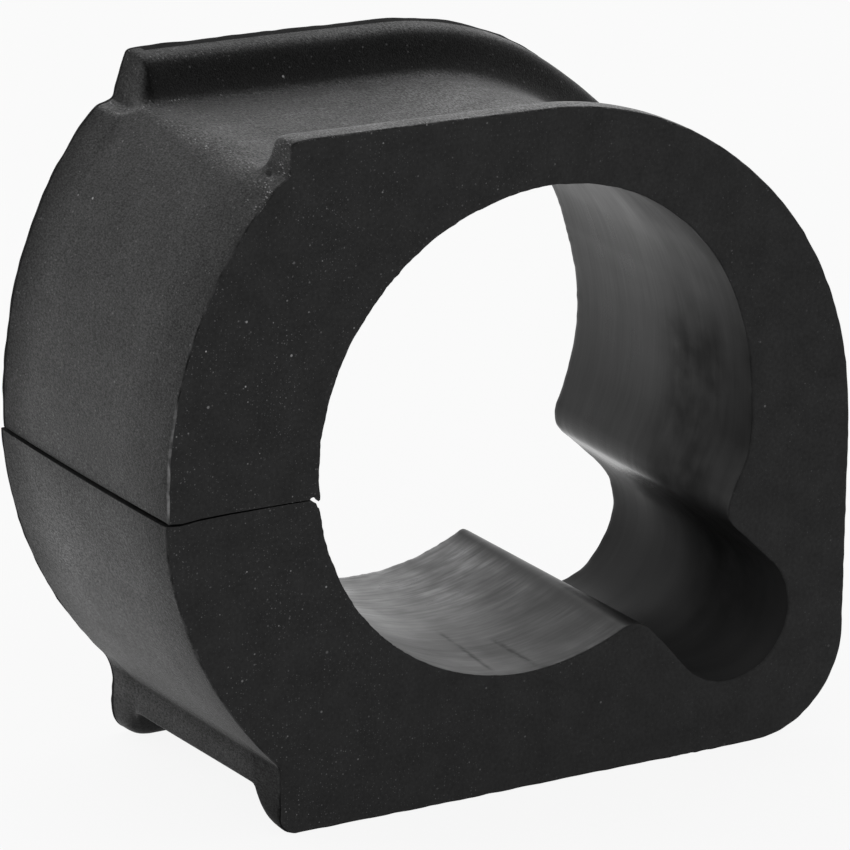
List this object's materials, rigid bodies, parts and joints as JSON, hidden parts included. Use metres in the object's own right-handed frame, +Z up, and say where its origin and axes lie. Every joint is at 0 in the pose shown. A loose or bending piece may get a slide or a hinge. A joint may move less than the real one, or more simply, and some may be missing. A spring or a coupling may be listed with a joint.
{
  "type": "steering rack bushing",
  "caption": "Split D-shaped rubber block with a round through bore, a relief notch off the bore and end flanges round a bracket groove; holds a steering rack housing in its bracket.",
  "frame": {"origin": "centre of the base rectangle under the block, on the plane of the base flange tips", "axes": "+Y along the bore from the front end to the back end, +Z up from the flat base, +X from the round split side to the upright flat side"},
  "size_m": [0.072, 0.0294, 0.0653],
  "materials": {
    "black_rubber": "matte moulded rubber"
  },
  "bodies": {
    "root": {"rack_bushing": "black_rubber"}
  },
  "joints": []
}
